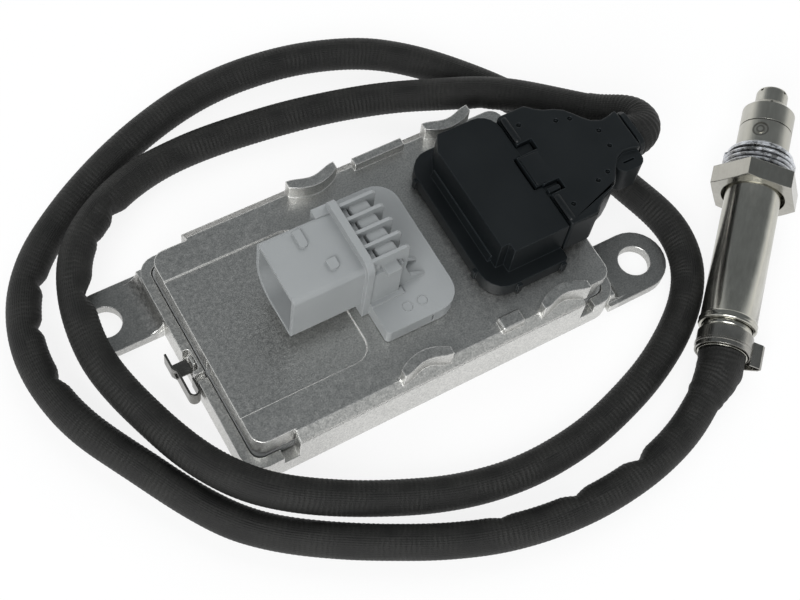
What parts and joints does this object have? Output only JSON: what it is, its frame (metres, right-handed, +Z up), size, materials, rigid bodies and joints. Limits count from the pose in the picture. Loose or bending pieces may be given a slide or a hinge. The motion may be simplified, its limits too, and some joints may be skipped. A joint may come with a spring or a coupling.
{
  "type": "nitrogen oxide sensor",
  "caption": "Nitrogen oxide sensor: a flat cast control unit with two plug headers and end tabs, joined by a sleeved cable to a metal probe with a hexagonal hollow screw.",
  "frame": {"origin": "centre of the control unit's flat underside, on the surface it rests on", "axes": "+X along the control unit from the open vehicle socket towards the sensor plug, +Z up, away from the underside"},
  "size_m": [0.2241, 0.164, 0.0412],
  "materials": {
    "cast_aluminium": "matt blasted casting",
    "sealant": "matt",
    "spring_steel": "satin",
    "board_laminate": "solder mask",
    "chip_package": "matt",
    "component_metal": "satin",
    "pale_plastic": "satin moulding",
    "contact_metal": "tinned",
    "black_plastic": "satin moulding",
    "black_rubber": "matt",
    "cable_sleeve": "matt ribbed textile sleeve",
    "stainless_steel": "polished and turned",
    "ceramic": "fired ceramic",
    "packed_powder": "matt"
  },
  "bodies": {
    "sensor": {"housing_base": "cast_aluminium", "housing_cover": "cast_aluminium", "housing_seal": "sealant", "cover_clip": "spring_steel", "band_clamp": "spring_steel", "circuit_board": "board_laminate", "processor_chip": "chip_package", "measuring_chip": "chip_package", "heater_transistor": "chip_package", "clock_crystal": "component_metal", "storage_capacitor": "component_metal", "vehicle_header": "pale_plastic", "vehicle_blade_1": "contact_metal", "vehicle_blade_2": "contact_metal", "vehicle_blade_3": "contact_metal", "vehicle_blade_4": "contact_metal", "sensor_pin_1": "contact_metal", "sensor_pin_2": "contact_metal", "sensor_pin_3": "contact_metal", "sensor_pin_4": "contact_metal", "sensor_pin_5": "contact_metal", "sensor_pin_6": "contact_metal", "sensor_pin_7": "contact_metal", "sensor_pin_8": "contact_metal", "sensor_header": "black_plastic", "plug_body": "black_plastic", "plug_rear_cover": "black_plastic", "cable_collar": "black_plastic", "plug_seal": "black_rubber", "cable_boot": "black_rubber", "cable_grommet": "black_rubber", "cable": "cable_sleeve", "bend_sleeve": "cable_sleeve", "end_sleeve": "stainless_steel", "rear_tube": "stainless_steel", "probe_shell": "stainless_steel", "sealing_seat": "stainless_steel", "outer_protection_tube": "stainless_steel", "inner_protection_tube": "stainless_steel", "sensing_element": "ceramic", "contact_holder": "ceramic", "rear_bush": "ceramic", "front_bush": "ceramic", "powder_seal": "packed_powder"},
    "screw": {"hollow_screw": "stainless_steel"}
  },
  "joints": [
    {"name": "hollow_screw_turn", "type": "hinge", "parent": "sensor", "child": "screw", "pos_m": [0.10826, -0.02143, 0.01228], "axis": [0.6981, 0.7104, 0.0899], "continuous": true}
  ]
}
